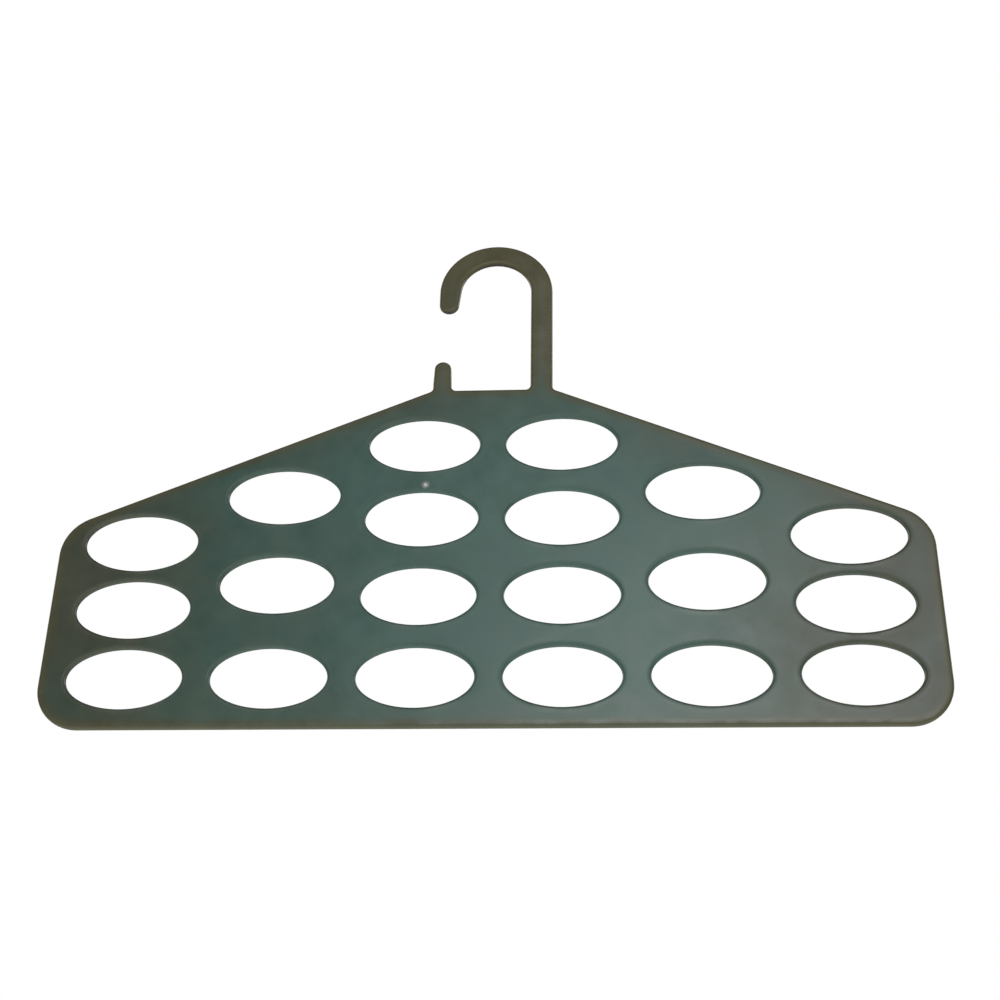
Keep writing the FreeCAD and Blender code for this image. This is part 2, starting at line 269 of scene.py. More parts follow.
@dataclass
class Surface:
    """Grids that together make the mesh of one piece.

    Attributes:
        points: Points of each grid, flattened.
        normals: Their normals.
        marks: Their point attributes.
        quads: Four point numbers for each face.
        count: Number of points so far.
    """

    points: list[Array] = field(default_factory=list)
    normals: list[Array] = field(default_factory=list)
    marks: dict[Mark, list[Array]] = field(default_factory=lambda: {mark: [] for mark in Mark})
    quads: list[Array] = field(default_factory=list)
    count: int = 0

    def add(self, points: Array, normals: Array, ring: bool = False, **marks: Array | float) -> None:
        """Add a grid whose faces join neighbours and are turned to agree with its normals.

        Args:
            points: Grid of points.
            normals: Normals, for each point or one for all.
            ring: Whether the last row joins the first.
            marks: Point attributes by name, 0 where they aren't given.
        """
        shape = points.shape[:2]
        flat = points.reshape(-1, 3)
        normals = np.broadcast_to(normals, points.shape).reshape(-1, 3)
        index = np.arange(len(flat)).reshape(shape)
        if ring:
            index = np.concatenate([index, index[:1]])
        near, far = index[:-1], index[1:]
        quads = np.stack([near[:, :-1], far[:, :-1], far[:, 1:], near[:, 1:]], axis=-1).reshape(-1, 4)
        corner = flat[quads]
        facing = np.cross(corner[:, 2] - corner[:, 0], corner[:, 3] - corner[:, 1])
        if np.sum(facing * normals[quads[:, 0]]) < 0:
            quads = quads[:, ::-1]
        self.points.append(flat)
        self.normals.append(normals)
        for mark, values in self.marks.items():
            values.append(np.broadcast_to(marks.get(mark, 0.0), shape).ravel())
        self.quads.append(quads + self.count)
        self.count += len(flat)

    def make(self, name: str) -> bpy.types.Object:
        """Weld the grids into one mesh object at the origin.

        Points that lie within a weld of each other become one, and a face that loses a corner by it
        becomes a triangle. Each corner of a face keeps the normal of its own grid.

        Args:
            name: Name of the object and of its mesh.

        Returns:
            The new object, linked to the scene.
        """
        points = np.concatenate(self.points)
        key = np.round(points / WELD).astype(np.int64)
        _, first, number = np.unique(key, axis=0, return_index=True, return_inverse=True)
        number = number.ravel()
        quads = np.concatenate(self.quads)
        same = number[quads] == np.roll(number[quads], -1, axis=1)
        groups = [quads[~same.any(axis=1)]]
        for corner in range(quads.shape[1]):
            pinched = quads[same[:, corner] & (same.sum(axis=1) == 1)]
            groups.append(np.delete(pinched, corner, axis=1))
        faces = [face for group in groups for face in number[group].tolist()]
        mesh = bpy.data.meshes.new(name)
        mesh.from_pydata(points[first].tolist(), [], faces)
        for mark, values in self.marks.items():
            attribute = mesh.attributes.new(mark, "FLOAT", "POINT")
            attribute.data.foreach_set("value", np.concatenate(values)[first].astype(np.float32))
        mesh.shade_smooth()
        corners = np.concatenate([group.ravel() for group in groups])
        mesh.normals_split_custom_set(np.concatenate(self.normals)[corners].tolist())
        mesh.update()
        piece = bpy.data.objects.new(name, mesh)
        bpy.context.scene.collection.objects.link(piece)
        return piece


class Signal:
    """A node's output that takes part in arithmetic: each operator adds the Math node that does it."""

    def __init__(self, net: "NodeNet", socket: bpy.types.NodeSocket) -> None:
        """Wrap an output socket of a net."""
        self.net = net
        self.socket = socket

    def math(self, operation: str, *values: "Signal | float") -> "Signal":
        """Add a Math node with the values as its inputs, and give back its result."""
        return self.net.node("ShaderNodeMath", {"operation": operation}, dict(enumerate(values)))

    def __add__(self, other: "Signal | float") -> "Signal":
        """Sum."""
        return self.math("ADD", self, other)

    __radd__ = __add__

    def __sub__(self, other: "Signal | float") -> "Signal":
        """Difference."""
        return self.math("SUBTRACT", self, other)

    def __rsub__(self, other: float) -> "Signal":
        """Difference from a number."""
        return self.math("SUBTRACT", other, self)

    def __mul__(self, other: "Signal | float") -> "Signal":
        """Product."""
        return self.math("MULTIPLY", self, other)

    __rmul__ = __mul__

    def __abs__(self) -> "Signal":
        """Size without sign."""
        return self.math("ABSOLUTE", self)

    def sine(self) -> "Signal":
        """Sine."""
        return self.math("SINE", self)

    def centred(self) -> "Signal":
        """A pattern that runs from 0 to 1, moved to lie about 0."""
        return self - 0.5

    def rise(self, low: float, high: float) -> "Signal":
        """Smooth step, which falls instead where low lies above high.

        Args:
            low: Value at which it is 0.
            high: Value at which it is 1.

        Returns:
            The step.
        """
        if low > high:
            return 1 - self.rise(high, low)
        sockets = {"Value": self, "From Min": low, "From Max": high}
        return self.net.node("ShaderNodeMapRange", {"interpolation_type": "SMOOTHSTEP"}, sockets)


class NodeNet:
    """The node tree of one material or of the world."""

    def __init__(self, tree: bpy.types.NodeTree) -> None:
        """Start with an empty tree."""
        self.tree = tree
        tree.nodes.clear()

    def node(self, kind: str, settings: dict[str, Any] | None = None,
             sockets: dict[str | int, Any] | None = None, output: str | int = 0) -> Signal:
        """Add a node.

        Args:
            kind: Type of the node.
            settings: Its properties, set before its sockets.
            sockets: Values or links of its inputs, by name or number.
            output: The output to give back.

        Returns:
            That output.
        """
        made = self.tree.nodes.new(kind)
        for name, value in (settings or {}).items():
            setattr(made, name, value)
        for name, value in (sockets or {}).items():
            if isinstance(value, Signal):
                self.tree.links.new(value.socket, made.inputs[name])
            else:
                made.inputs[name].default_value = value
        return Signal(self, made.outputs[output] if len(made.outputs) else None)

    def place(self) -> Signal:
        """Object coordinates, which are the shared frame's."""
        return self.node("ShaderNodeTexCoord", output="Object")

    def mark(self, mark: Mark) -> Signal:
        """A point attribute of the mesh."""
        return self.node("ShaderNodeAttribute", {"attribute_name": mark}, output="Fac")

    def parts(self, vector: Signal) -> tuple[Signal, Signal, Signal]:
        """The X, Y and Z of a vector."""
        split = self.node("ShaderNodeSeparateXYZ", {}, {0: vector}).socket.node
        return tuple(Signal(self, output) for output in split.outputs)

    def scaled(self, colour: Signal, factor: Signal | float) -> Signal:
        """A colour times a number."""
        return self.node("ShaderNodeVectorMath", {"operation": "SCALE"}, {0: colour, "Scale": factor})

    def blend(self, share: Signal | float, first: Signal | Colour, second: Signal | Colour) -> Signal:
        """Mix two colours by a share of the second."""
        return self.node("ShaderNodeMix", {"data_type": "RGBA"}, {0: share, 6: first, 7: second}, 2)


def new_material(name: str) -> tuple[bpy.types.Material, NodeNet]:
    """Make a material without nodes.

    Args:
        name: Name of the material.

    Returns:
        The material and its net.
    """
    made = bpy.data.materials.new(name)
    made.use_nodes = True
    return made, NodeNet(made.node_tree)


@dataclass(frozen=True)
class Zone:
    """A smooth step of a height, a distance or a pattern.

    Attributes:
        low: Where it is 0.
        high: Where it is full.
        share: Its full value.
    """

    low: float
    high: float
    share: float = 1.0

    def of(self, value: Signal) -> Signal:
        """The step of a value."""
        return value.rise(self.low, self.high) * self.share


@dataclass(frozen=True)
class Cloud:
    """A cloudy pattern.

    Attributes:
        scale: Clouds to the metre.
        detail: Number of finer layers.
        roughness: Strength of each finer layer beside the one before it.
    """

    scale: float
    detail: float = 3.0
    roughness: float = 0.5

    def over(self, place: Signal) -> Signal:
        """The pattern at a place, from 0 to 1."""
        sockets = {"Vector": place, "Scale": self.scale, "Detail": self.detail, "Roughness": self.roughness}
        return place.net.node("ShaderNodeTexNoise", {}, sockets, "Fac")


@dataclass(frozen=True)
class Scratches:
    """Hairline scratches that lie one way, in patches.

    Attributes:
        lean: Angle of their line from the X axis, in radians.
        fineness: Scratches to the metre across the line.
        draw: How many times longer than wide they are.
        detail: Number of finer layers in their pattern.
        lines: Where a scratch fades in, by that pattern.
        patches: Pattern of the patches.
        patch_edge: Where a patch fades in, by its pattern.
    """

    lean: float
    fineness: float
    draw: float = 60.0
    detail: float = 1.0
    lines: Zone = Zone(0.69, 0.76)
    patches: Cloud = Cloud(30.0, 2.0)
    patch_edge: Zone = Zone(0.5, 0.62)

    def over(self, place: Signal) -> Signal:
        """Work out the scratches: a cloudy pattern drawn out along a line that leans.

        Args:
            place: Object coordinates.

        Returns:
            1 on a scratch, 0 elsewhere.
        """
        net = place.net
        x, y, z = net.parts(place)
        cosine, sine = math.cos(self.lean), math.sin(self.lean)
        along = (x * cosine + z * sine) * (1 / self.draw)
        across = z * cosine - x * sine
        drawn = net.node("ShaderNodeCombineXYZ", {}, {0: along, 1: y, 2: across})
        lines = Cloud(self.fineness, self.detail).over(drawn)
        return self.lines.of(lines) * self.patch_edge.of(self.patches.over(place))


@dataclass(frozen=True)
class Specks:
    """Dust specks: the middles of a few cells of a fine cell pattern.

    Attributes:
        scale: Cells to the metre.
        size: Where a speck fades in, by the distance from its cell's middle.
        chosen: Which cells hold one, by their random number.
    """

    scale: float = 330.0
    size: Zone = Zone(0.12, 0.05)
    chosen: Zone = Zone(0.90, 0.92)

    def over(self, place: Signal) -> Signal:
        """Work out the specks.

        Args:
            place: Object coordinates.

        Returns:
            1 on a speck, 0 elsewhere.
        """
        net = place.net
        middle = net.node("ShaderNodeTexVoronoi", {}, {"Vector": place, "Scale": self.scale}, "Distance")
        chance = net.parts(Signal(net, middle.socket.node.outputs["Color"]))[0]
        return self.size.of(middle) * self.chosen.of(chance)


@dataclass(frozen=True)
class Spot:
    """Where a point of the plastic lies, as signals.

    Attributes:
        place: Object coordinates.
        x: Its X.
        z: Its Z.
        rim: Distance from the nearest free edge.
        outline: Distance from the outer outline.
        wear: Rubbing by cloth, up to 1, and painted shade on walls that look down, down to -1.
        gate: Distance from the gate.
    """

    place: Signal
    x: Signal
    z: Signal
    rim: Signal
    outline: Signal
    wear: Signal
    gate: Signal

    @staticmethod
    def read(net: NodeNet, gate: Place) -> "Spot":
        """Read the place and the point attributes, and measure the way to the gate.

        Args:
            net: The material's net.
            gate: The point where the plastic ran into the mould.

        Returns:
            The signals.
        """
        place = net.place()
        x, _, z = net.parts(place)
        rim, outline, wear = (net.mark(mark) for mark in Mark)
        away = net.node("ShaderNodeVectorMath", {"operation": "DISTANCE"}, {0: place, 1: gate}, "Value")
        return Spot(place, x, z, rim, outline, wear, away)


class Blemish(Enum):
    """What is uneven about the plastic, and the shade painted on it.

    CLOUDS and MOTTLE are its broad and its fine unevenness, about 0, and FLOW marks run from -1 to 1. The
    others are 1 on a scratch, on a speck of dust, where cloth has rubbed a rim and where shade is painted
    on the walls of the hook and the prong that look down.
    """

    CLOUDS = auto()
    MOTTLE = auto()
    FLOW = auto()
    SCRATCH = auto()
    SPECK = auto()
    RUBBED = auto()
    SOILED = auto()


Blemishes = dict[Blemish, Signal]
Shares = tuple[tuple[Blemish, float], ...]


def with_blemishes(value: Signal | float, blemishes: Blemishes, shares: Shares) -> Signal:
    """Add blemishes to a value, each times its share.

    Args:
        value: The value without them.
        blemishes: The blemishes.
        shares: Which of them count, and how much.

    Returns:
        The sum.
    """
    for blemish, share in shares:
        value = value + blemishes[blemish] * share
    return value


@dataclass(frozen=True)
class Ageing:
    """How the plastic came out of the mould, what use has done to it, and where shade is painted on it.

    Attributes:
        clouds: Broad unevenness.
        mottle: Fine unevenness.
        flow_step: Distance between flow marks.
        flow_sway: How far the clouds bend them, in radians.
        flow_zone: Where they show, by the distance from the gate.
        scratches: Scratches that lie one way and the other.
        specks: Dust.
        rubbed: Where cloth has rubbed, by the wear mark.
        rubbed_patches: Where that shows, by the mottle.
        painted_shade_step: Where shade is painted on walls that look down, by the wear mark.
        painted_shade_least: Least painted shade there.
        painted_shade_sway: How much the mottle adds to it.
    """

    clouds: Cloud = Cloud(9.0, 4.0, 0.55)
    mottle: Cloud = Cloud(60.0, 5.0, 0.62)
    flow_step: float = 8.0 * MM
    flow_sway: float = 16.0
    flow_zone: Zone = Zone(110.0 * MM, 0.0)
    scratches: tuple[Scratches, Scratches] = (Scratches(0.35, 1700.0), Scratches(1.9, 2300.0))
    specks: Specks = Specks()
    rubbed: Zone = Zone(0.0, 1.0)
    rubbed_patches: Zone = Zone(0.35, 0.65)
    painted_shade_step: Zone = Zone(0.0, -1.0)
    painted_shade_least: float = 0.6
    painted_shade_sway: float = 0.6

    def over(self, spot: Spot) -> Blemishes:
        """Work out the blemishes. Flow marks are the sine of the way to the gate, bent by the clouds.

        Args:
            spot: Where the point lies.

        Returns:
            The blemishes there.
        """
        place = spot.place
        clouds, mottle = self.clouds.over(place), self.mottle.over(place)
        phase = spot.gate * (CIRCLE / self.flow_step) + clouds * self.flow_sway
        one_way, other_way = (scratches.over(place) for scratches in self.scratches)
        return {
            Blemish.CLOUDS: clouds.centred(),
            Blemish.MOTTLE: mottle.centred(),
            Blemish.FLOW: phase.sine() * self.flow_zone.of(spot.gate),
            Blemish.SCRATCH: one_way + other_way,
            Blemish.SPECK: self.specks.over(place),
            Blemish.RUBBED: self.rubbed.of(spot.wear) * self.rubbed_patches.of(mottle),
            # Painted shade: walls that look down are darkened, unevenly by the mottle.
            Blemish.SOILED: self.painted_shade_step.of(spot.wear) * (self.painted_shade_least + mottle * self.painted_shade_sway),
        }


@dataclass(frozen=True)
class SatinPlastic:
    """Satin moulded plastic, olive, with painted reflections and painted shade in its colour.

    Attributes:
        gate: The point where the plastic ran into the mould.
        name: Name of the material.
        ageing: Its blemishes.
        middle: Colour of the broad middle, a painted cool reflection.
        ends: Colour towards the two ends and the top, where the painted reflection gives way to darker
            olive.
        ends_side: Where that comes in, by the distance from the middle.
        ends_top: Where it comes in, by the height.
        ends_shares: How much blemishes shift it.
        thin: Colour of the stem and the prong, and a trace of it at the bottom, a painted warm reflection.
        thin_stem: Where that comes in, by the height.
        thin_foot: Where the trace comes in, by the height.
        crown: Colour of the hook's bend, a painted warm reflection.
        crown_zone: Where that comes in, by the height.
        lip: Colour along the outline, and a trace of it along other edges, painted warm reflection and
            shade.
        lip_zone: Where that comes in, by the distance from the outline.
        lip_sway: How far the mottle moves its border.
        lip_trace: Where the trace comes in, by the distance from an edge.
        shade_shares: How much blemishes lighten and darken the colours so far.
        worn: Colour of scratches, specks and rubbed rims.
        worn_shares: How much of it each of them has.
        painted_shade: Colour of the shade painted on the walls that look down, the seat and the tip's end
            among them.
        blush_and_highlight: Colour of the pale blush round the gate, stress-whitened plastic and partly a
            painted highlight.
        blush_zone: Where that comes in, by the distance from the gate.
        blush_sway: How far the mottle moves its border.
        gloss: Roughness of the plain surface.
        gloss_rim: How much rougher it is by the distance from an edge.
        gloss_shares: How much blemishes shift it.
        grain: The mould's fine texture.
        grain_depth: Depth of that texture.
        wave: Slight unevenness of the faces.
        wave_depth: Depth of that unevenness.
        scratch_depth: Depth of a scratch.
        relief_zone: Where the relief comes in, by the distance from an edge.
        relief_unit: Metres in one unit of the relief.
        ior: Index of refraction.
    """

    gate: Place
    name: str = "slate_moulding"
    ageing: Ageing = Ageing()
    middle: Colour = (0.075, 0.167, 0.140, 1.0)
    ends: Colour = (0.089, 0.101, 0.069, 1.0)
    ends_side: Zone = Zone(30.0 * MM, 210.0 * MM, 0.75)
    ends_top: Zone = Zone(-120.0 * MM, -60.0 * MM, 0.4)
    ends_shares: Shares = ((Blemish.CLOUDS, 1.2), (Blemish.MOTTLE, 0.5))
    thin: Colour = (0.144, 0.150, 0.098, 1.0)
    thin_stem: Zone = Zone(-75.0 * MM, -35.0 * MM)
    thin_foot: Zone = Zone(-222.0 * MM, -248.0 * MM, 0.18)
    crown: Colour = (0.134, 0.126, 0.072, 1.0)
    crown_zone: Zone = Zone(-20.0 * MM, 30.0 * MM)
    lip: Colour = (0.126, 0.112, 0.048, 1.0)
    lip_zone: Zone = Zone(4.8 * MM, 0.0, 0.62)
    lip_sway: float = 4.8 * MM
    lip_trace: Zone = Zone(1.5 * MM, 0.0, 0.0744)
    shade_shares: Shares = ((Blemish.MOTTLE, 0.70), (Blemish.FLOW, 0.02))
    worn: Colour = (0.190, 0.215, 0.190, 1.0)
    worn_shares: Shares = ((Blemish.SCRATCH, 0.22), (Blemish.SPECK, 0.5), (Blemish.RUBBED, 0.4))
    painted_shade: Colour = (0.024, 0.019, 0.009, 1.0)
    blush_and_highlight: Colour = (0.360, 0.390, 0.365, 1.0)
    blush_zone: Zone = Zone(2.7 * MM, 1.134 * MM, 0.8)
    blush_sway: float = 0.8 * MM
    gloss: float = 0.34
    gloss_rim: Zone = Zone(1.5 * MM, 0.0, 0.12)
    gloss_shares: Shares = (
        (Blemish.MOTTLE, 0.22), (Blemish.CLOUDS, 0.16), (Blemish.FLOW, 0.012),
        (Blemish.SCRATCH, 0.08), (Blemish.SPECK, 0.20), (Blemish.RUBBED, -0.16),
    )
    grain: Cloud = Cloud(2600.0, 2.0)
    grain_depth: float = 0.013 * MM
    wave: Cloud = Cloud(24.0, 1.0)
    wave_depth: float = 0.22 * MM
    scratch_depth: float = 0.006 * MM
    relief_zone: Zone = Zone(0.0, 4.0 * MM)
    relief_unit: float = 1.0
    ior: float = 1.49

    def colour(self, spot: Spot, blemishes: Blemishes) -> Signal:
        """Work out the colour: each tone is laid over those before it by its own share.

        Args:
            spot: Where the point lies.
            blemishes: The blemishes there.

        Returns:
            The colour.
        """
        net, z = spot.place.net, spot.z
        mottle = blemishes[Blemish.MOTTLE]
        # Painted reflection: slate green in the broad middle, fading to darker olive towards the ends and
        # the top.
        reflection_falloff = self.ends_side.of(abs(spot.x)) + self.ends_top.of(z)
        reflection_falloff = with_blemishes(reflection_falloff, blemishes, self.ends_shares)
        base = net.blend(reflection_falloff.rise(0.0, 1.0), self.middle, self.ends)
        # Painted warm reflection on the stem, the prong and the hook's bend, with a trace along the bottom.
        base = net.blend(self.thin_stem.of(z) + self.thin_foot.of(z), base, self.thin)
        base = net.blend(self.crown_zone.of(z), base, self.crown)
        # Painted warm reflection and shade along the outline, with a trace along the other edges.
        lip = self.lip_zone.of(spot.outline + mottle * self.lip_sway)
        base = net.blend(lip + self.lip_trace.of(spot.rim), base, self.lip)
        base = net.scaled(base, with_blemishes(1.0, blemishes, self.shade_shares))
        base = net.blend(with_blemishes(0.0, blemishes, self.worn_shares), base, self.worn)
        # Painted shade on the walls that look down.
        base = net.blend(blemishes[Blemish.SOILED], base, self.painted_shade)
        # Pale blush round the gate: stress-whitened plastic and partly a painted highlight.
        return net.blend(self.blush_zone.of(spot.gate + mottle * self.blush_sway), base, self.blush_and_highlight)

    def roughness(self, spot: Spot, blemishes: Blemishes) -> Signal:
        """The plain roughness, more of it at the edges, and the share of each blemish."""
        return with_blemishes(self.gloss + self.gloss_rim.of(spot.rim), blemishes, self.gloss_shares)

    def relief(self, spot: Spot, blemishes: Blemishes) -> Signal:
        """Work out the relief: grain and waves less the scratches, dying out towards the edges.

        Args:
            spot: Where the point lies.
            blemishes: The blemishes there.

        Returns:
            The height in metres.
        """
        grain = self.grain.over(spot.place).centred() * self.grain_depth
        wave = self.wave.over(spot.place).centred() * self.wave_depth
        height = grain + wave - blemishes[Blemish.SCRATCH] * self.scratch_depth
        return height * self.relief_zone.of(spot.rim)

    def material(self) -> bpy.types.Material:
        """Make the material from Object coordinates and the point attributes.

        Returns:
            The material.
        """
        made, net = new_material(self.name)
        spot = Spot.read(net, self.gate)
        blemishes = self.ageing.over(spot)
        relief = self.relief(spot, blemishes)
        shader = net.node("ShaderNodeBsdfPrincipled", {}, {
            "Base Color": self.colour(spot, blemishes),
            "Roughness": self.roughness(spot, blemishes),
            "Normal": net.node("ShaderNodeBump", {}, {"Height": relief, "Distance": self.relief_unit}),
            "IOR": self.ior,
        })
        net.node("ShaderNodeOutputMaterial", {}, {"Surface": shader})
        return made


@dataclass(frozen=True)
class PalePlastic:
    """The same plastic where it tore white at the gate, its paleness partly a painted highlight on the
    stub.

    Attributes:
        name: Name of the material.
        torn: Colour of the torn middle, partly a painted highlight.
        skin: Colour of its edge, partly a painted highlight.
        torn_zone: Where the middle comes in, by the distance from the edge.
        crumbs: Pattern of the torn plastic.
        crumb_depth: Depth of the crumbs.
        plain: Middle roughness.
        crumb_share: How much the crumbs shift it.
    """

    name: str = "torn_gate_and_highlight"
    torn: Colour = (0.84, 0.86, 0.84, 1.0)
    skin: Colour = (0.68, 0.71, 0.68, 1.0)
    torn_zone: Zone = Zone(0.0, 0.7 * MM, 0.8)
    crumbs: Cloud = Cloud(2400.0, 4.0, 0.65)
    crumb_depth: float = 0.05 * MM
    plain: float = 0.55
    crumb_share: float = 0.3

    def material(self) -> bpy.types.Material:
        """Make the material from Object coordinates and the distance from the edge.

        Returns:
            The material.
        """
        made, net = new_material(self.name)
        crumbs = self.crumbs.over(net.place())
        torn = self.torn_zone.of(net.mark(Mark.RIM)) + crumbs.centred()
        shader = net.node("ShaderNodeBsdfPrincipled", {}, {
            # Pale stub: torn plastic and partly a painted highlight.
            "Base Color": net.blend(torn.rise(0.0, 1.0), self.skin, self.torn),
            "Roughness": self.plain + crumbs.centred() * self.crumb_share,
            "Normal": net.node("ShaderNodeBump", {}, {"Height": crumbs, "Distance": self.crumb_depth}),
        })
        net.node("ShaderNodeOutputMaterial", {}, {"Surface": shader})
        return made


@dataclass(frozen=True)
class Moulding:
    """Sizes that the plate, the hook and the prong share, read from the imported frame.

    Attributes:
        seat: Radius of the hook's rod seat.
        outer: Radius of the hook's outer side.
        joint: Height of the plane where the hook and the prong leave the plate's roots.
        thickness: Thickness of the moulding.
        root_radius: Fillet at the foot of the hook and of the prong.
        root_rise: Straight rise between that fillet and the joint.
        rise_steps: Steps along that rise.
        arc_steps: Steps in each round.
        across_steps: Steps across a root or a limb.
        step: Longest step along a straight side.
    """

    seat: float
    outer: float
    joint: float
    thickness: float
    root_radius: float = 2.8 * MM
    root_rise: float = 1.5 * MM
    rise_steps: int = 2
    arc_steps: int = 18
    across_steps: int = 8
    step: float = 1.9 * MM

    @property
    def top(self) -> float:
        """Height of the plate's flat top."""
        return self.joint - self.root_radius - self.root_rise

    @property
    def rim(self) -> Rim:
        """The section of every edge."""
        return Rim(self.thickness)

    @property
    def root_steps(self) -> int:
        """Steps along one side of a root."""
        return self.rise_steps + self.arc_steps

    @property
    def across(self) -> Array:
        """Shares of the way across a root or a limb."""
        return np.linspace(0, 1, self.across_steps + 1)

    @staticmethod
    def read() -> "Moulding":
        """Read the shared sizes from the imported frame.

        Returns:
            The sizes.
        """
        low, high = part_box("rod_hook")
        mounts = {mount["name"]: mount for mount in frame["record"]["mounts"]}
        seat = mounts["rod_seat"]["dims"]["r_mm"] * MM
        thickness = high[Axis.Y] - low[Axis.Y]
        return Moulding(seat=seat, outer=high[Axis.X], joint=low[Axis.Z], thickness=thickness)


def add_faces(surface: Surface, grid: Array, thickness: float, edges: Array) -> None:
    """Add the same plane grid as a piece's front face and as its back face.

    Args:
        surface: The piece's surface.
        grid: Points in the hanger's plane.
        thickness: Thickness of the moulding.
        edges: Points along the piece's outline.
    """
    away = nearest(grid, edges)
    for side in (-1, 1):
        points = in_plane(grid, side * thickness / 2)
        surface.add(points, np.array([0.0, side, 0.0]), rim=away, outline=away)


def add_cap(surface: Surface, moulding: Moulding, left: Array, right: Array, upward: float) -> None:
    """Close a piece at the joint: each level of the section runs straight across from side to side.

    Args:
        surface: The piece's surface.
        moulding: The shared sizes.
        left: The rim's section at one side.
        right: The rim's section at the other.
        upward: 1 for a face that looks up, -1 for one that looks down.
    """
    grid = between(left, right, moulding.across[:, None])
    surface.add(grid, np.array([0.0, 0.0, upward]))


@dataclass(frozen=True)
class Loop:
    """One oval scarf loop.

    Attributes:
        centre: Its middle in the hanger's plane.
        half_width: Half its width.
        half_height: Half its height.
    """

    centre: complex
    half_width: float
    half_height: float

    def bearing(self, points: Array) -> Array:
        """Angle of points about the loop once it is squeezed to a circle."""
        away = points - self.centre
        return np.arctan2(away.imag / self.half_height, away.real / self.half_width)

    def wall(self, angle: Array) -> Track:
        """Follow the oval: half its width times the cosine, and half its height times the sine.

        Args:
            angle: Angles about the loop once it is squeezed to a circle.

        Returns:
            Points of the oval, with normals that point into the hole.
        """
        points = self.centre + self.half_width * np.cos(angle) + 1j * self.half_height * np.sin(angle)
        out = np.cos(angle) / self.half_width + 1j * np.sin(angle) / self.half_height
        return Track(points, -out / np.abs(out))


